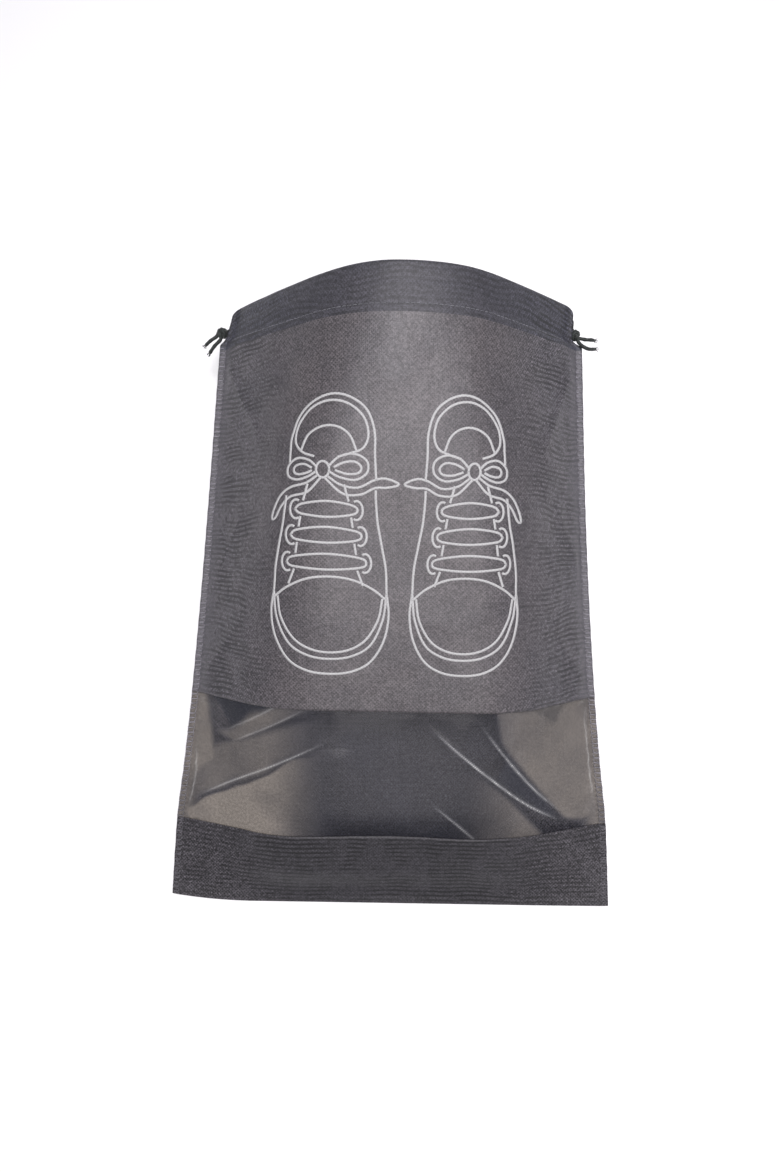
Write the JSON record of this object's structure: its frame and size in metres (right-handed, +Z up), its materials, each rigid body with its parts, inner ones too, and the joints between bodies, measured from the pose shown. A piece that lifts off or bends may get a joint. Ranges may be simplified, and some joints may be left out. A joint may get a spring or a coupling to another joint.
{
  "type": "drawstring shoe bag",
  "caption": "Soft drawstring bag for shoes: printed fabric front, dark back and lower band, clear window over the toes, hemmed mouth closed by cords knotted at each side.",
  "frame": {"origin": "on the plane the bag lies on, under the middle of the bag's box, cord ends not counted", "axes": "+Z up out of the plane it lies on, +Y from the bottom fold to the mouth, +X to the right seen from the front"},
  "size_m": [0.3214, 0.4434, 0.119],
  "materials": {
    "front_fabric": "matt embossed non-woven, grey",
    "back_fabric": "matt embossed non-woven, dark grey",
    "film": "clear soft film, glossy, creased",
    "overlock_thread": "light grey sewing thread",
    "hem_thread": "dark grey sewing thread",
    "cord": "round braided cord, near black"
  },
  "bodies": {
    "root": {"front_panel": "front_fabric", "back_panel": "back_fabric", "window_film": "film", "left_overlock": "overlock_thread", "right_overlock": "overlock_thread", "front_hem_stitch": "hem_thread", "back_hem_stitch": "hem_thread", "left_drawstring": "cord", "right_drawstring": "cord"},
    "left_pull": {"left_knot": "cord", "left_strand_front": "cord", "left_strand_back": "cord", "left_tail_front": "cord", "left_tail_back": "cord"},
    "right_pull": {"right_knot": "cord", "right_strand_front": "cord", "right_strand_back": "cord", "right_tail_front": "cord", "right_tail_back": "cord"}
  },
  "joints": [
    {"name": "left_pull_slide", "type": "slide", "parent": "root", "child": "left_pull", "axis": [-1, 0, 0], "range_m": [0, 0.17]},
    {"name": "right_pull_slide", "type": "slide", "parent": "root", "child": "right_pull", "axis": [1, 0, 0], "range_m": [0, 0.17]}
  ]
}
